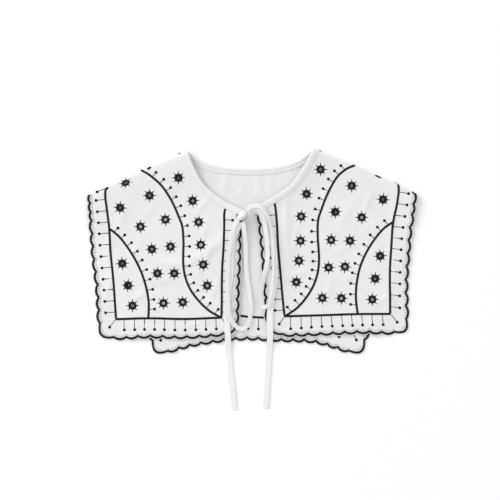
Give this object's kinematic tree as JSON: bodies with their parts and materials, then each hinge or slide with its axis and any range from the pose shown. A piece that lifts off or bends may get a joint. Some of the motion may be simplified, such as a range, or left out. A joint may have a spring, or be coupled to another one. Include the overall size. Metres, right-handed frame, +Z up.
{
  "type": "detachable collar",
  "caption": "White cotton detachable collar with black scalloped embroidery and cut eyelet stars, folded at the shoulders and laid flat, with narrow ties in a bow.",
  "frame": {"origin": "under the middle of the laid cloth, on the surface that it rests on", "axes": "+X to the right as seen from above, +Y towards the neck, +Z up from the surface"},
  "size_m": [0.4809, 0.3793, 0.0166],
  "materials": {
    "cotton": "plain woven white cotton, matt",
    "binding": "white cotton binding, stitched along its edge",
    "tie": "narrow folded white cotton tie",
    "thread": "black embroidery thread in satin stitch, low sheen"
  },
  "bodies": {
    "root": {"back": "cotton", "front_left": "cotton", "front_right": "cotton", "neck_band_back": "binding", "neck_band_left": "binding", "neck_band_right": "binding", "tie_right_root": "tie", "tie_knot": "tie", "tie_left_loop": "tie", "tie_right_loop": "tie", "tie_left_tail": "tie", "tie_right_tail": "tie"}
  },
  "joints": []
}
